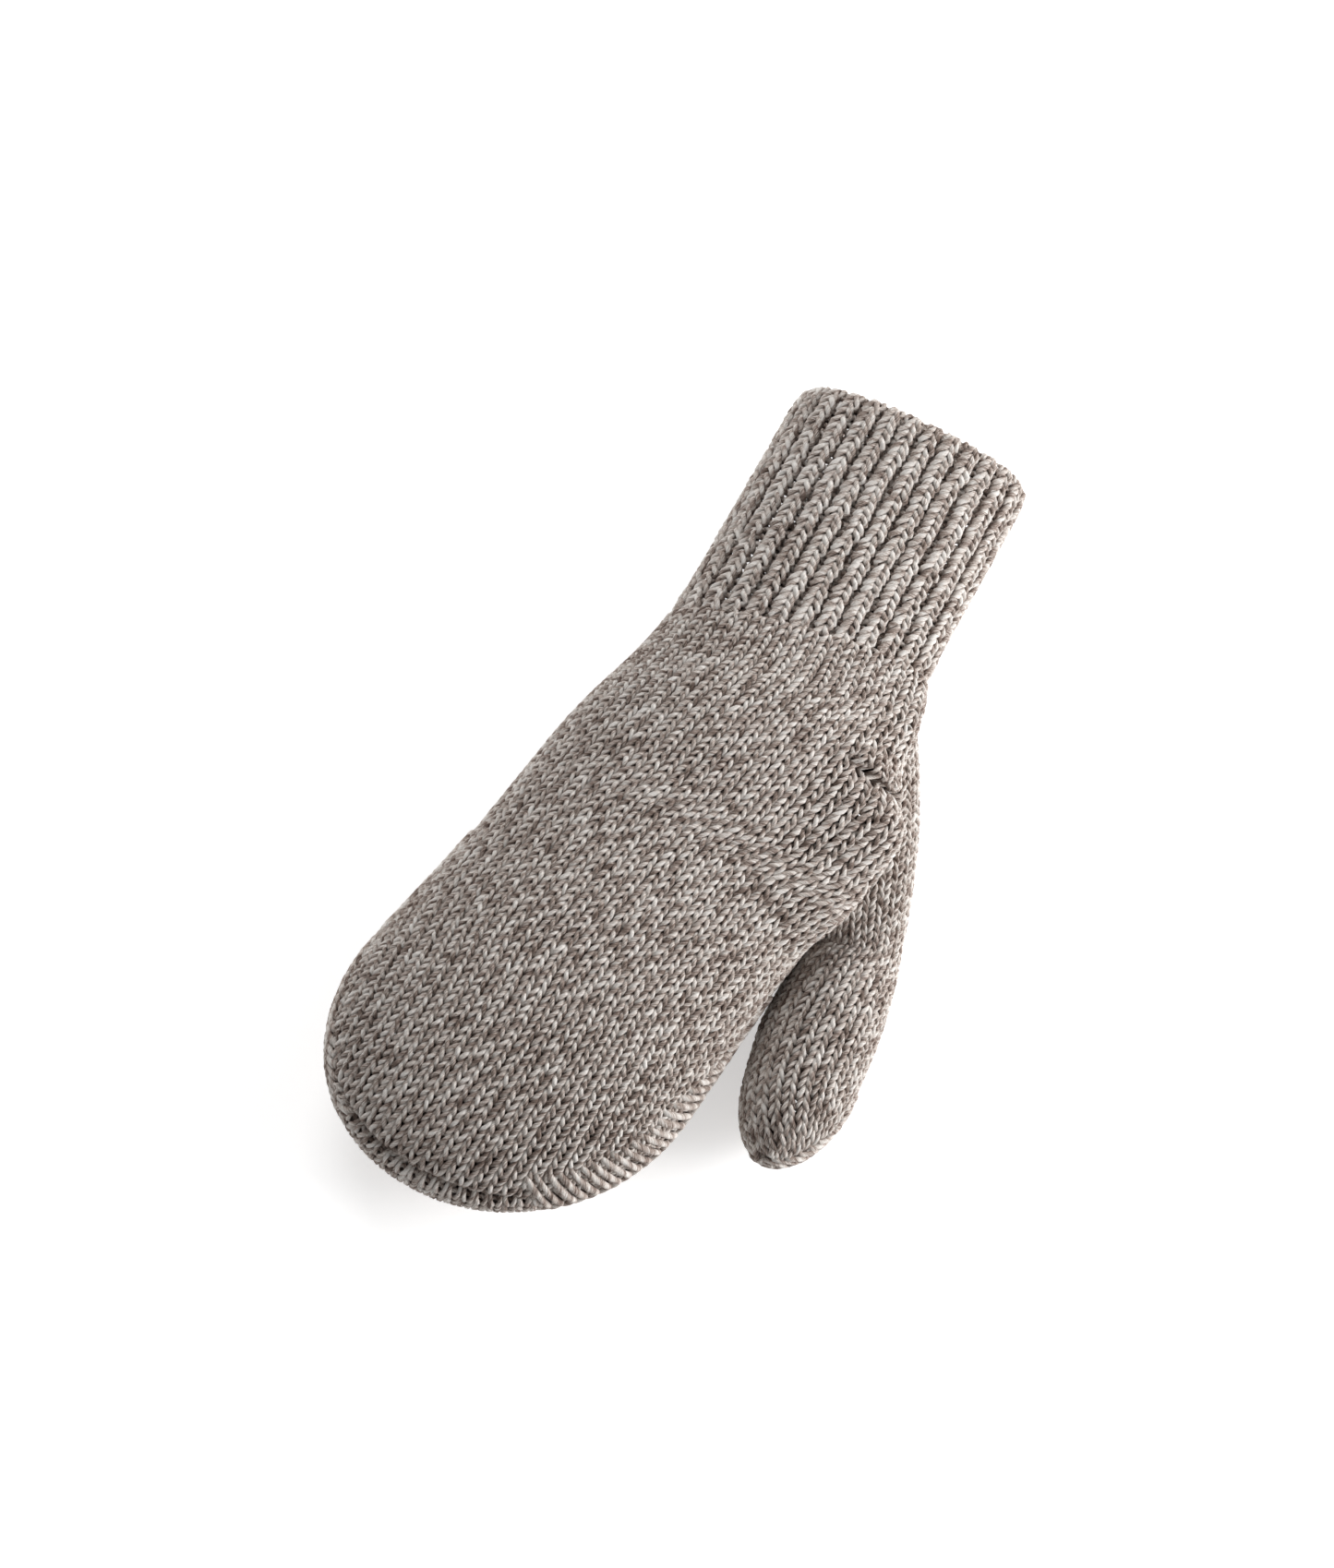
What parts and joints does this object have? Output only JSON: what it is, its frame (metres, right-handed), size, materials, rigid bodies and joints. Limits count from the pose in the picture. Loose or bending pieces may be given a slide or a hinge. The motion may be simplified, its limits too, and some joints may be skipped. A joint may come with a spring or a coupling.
{
  "type": "knitted mitten",
  "caption": "Knitted wool mitten for the right hand, with a ribbed cuff, a thumb gusset and a rounded, seamed finger tip.",
  "frame": {"origin": "on the palm's flat resting zone, under the cuff's centre line, 125 mm from the cuff's edge", "axes": "+Y towards the finger tip, +Z out of the back of the hand, the thumb on the -X side"},
  "size_m": [0.1396, 0.2719, 0.0455],
  "materials": {
    "wool_body": "marled stocking stitch",
    "wool_rib": "marled one by one rib",
    "wool_edge": "marled edge stitches"
  },
  "bodies": {
    "hand": {"hand_back": "wool_body", "hand_palm": "wool_body", "thumb_gusset": "wool_body"},
    "cuff": {"ribbed_cuff": "wool_rib", "cuff_edge": "wool_edge"},
    "fingers": {"finger_back": "wool_body", "finger_palm": "wool_body", "decrease_band_thumb_side": "wool_edge", "decrease_band_little_finger_side": "wool_edge", "tip_seam": "wool_edge"},
    "thumb": {"thumb_tube": "wool_body", "thumb_tip": "wool_body"}
  },
  "joints": [
    {"name": "wrist_bend", "type": "hinge", "parent": "hand", "child": "cuff", "pos_m": [0, -0.047, 0.0215], "axis": [0.9654, 0.2607, 0], "range_deg": [-20, 20]},
    {"name": "finger_fold", "type": "hinge", "parent": "hand", "child": "fingers", "pos_m": [0, 0.041, 0], "axis": [-1, 0, 0], "range_deg": [0, 45]},
    {"name": "thumb_swing", "type": "hinge", "parent": "hand", "child": "thumb", "pos_m": [-0.0571, 0.0204, 0.016], "axis": [0, 0, 1], "range_deg": [0, 25]}
  ]
}
